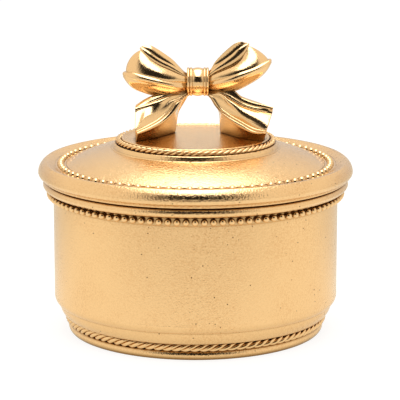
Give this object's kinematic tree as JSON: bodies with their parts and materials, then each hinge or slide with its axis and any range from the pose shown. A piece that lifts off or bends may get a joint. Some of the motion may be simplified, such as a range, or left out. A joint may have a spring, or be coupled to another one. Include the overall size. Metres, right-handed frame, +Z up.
{
  "type": "accessory box",
  "caption": "Round gilt metal accessory box with a beaded rim, rope-edged foot and a loose domed lid lifted by a cast ribbon bow.",
  "frame": {"origin": "middle of the face that the foot stands on", "axes": "+Z up through the middle of the lid; the front of the bow faces -Y, its right loop points to +X"},
  "size_m": [0.12, 0.12, 0.1101],
  "materials": {
    "gilt_satin": "gold-plated cast brass, finely grained and lightly pitted",
    "gilt_trim": "gold-plated bead and rope wire",
    "gilt_polished": "gold-plated casting, polished",
    "velvet": "ivory cotton velvet",
    "felt": "dark brown wool felt",
    "steel": "zinc-plated steel"
  },
  "bodies": {
    "box": {"box_wall": "gilt_satin", "foot_moulding": "gilt_satin", "foot_rope": "gilt_trim", "rim_bead_band": "gilt_trim", "box_floor": "gilt_satin", "base_felt": "felt", "floor_pad": "velvet", "wall_lining": "velvet"},
    "lid": {"lid_shell": "gilt_satin", "lid_locating_ring": "gilt_satin", "lid_bead_border": "gilt_trim", "lid_plinth": "gilt_satin", "plinth_rope": "gilt_trim", "bow_knot": "gilt_polished", "bow_left_loop": "gilt_polished", "bow_right_loop": "gilt_polished", "bow_left_tail": "gilt_polished", "bow_right_tail": "gilt_polished", "bow_screws": "steel", "bow_washers": "steel", "lid_lining": "velvet"}
  },
  "joints": [
    {"name": "lid_lift", "type": "slide", "parent": "box", "child": "lid", "axis": [0, 0, 1], "range_m": [0, 0.09]}
  ]
}
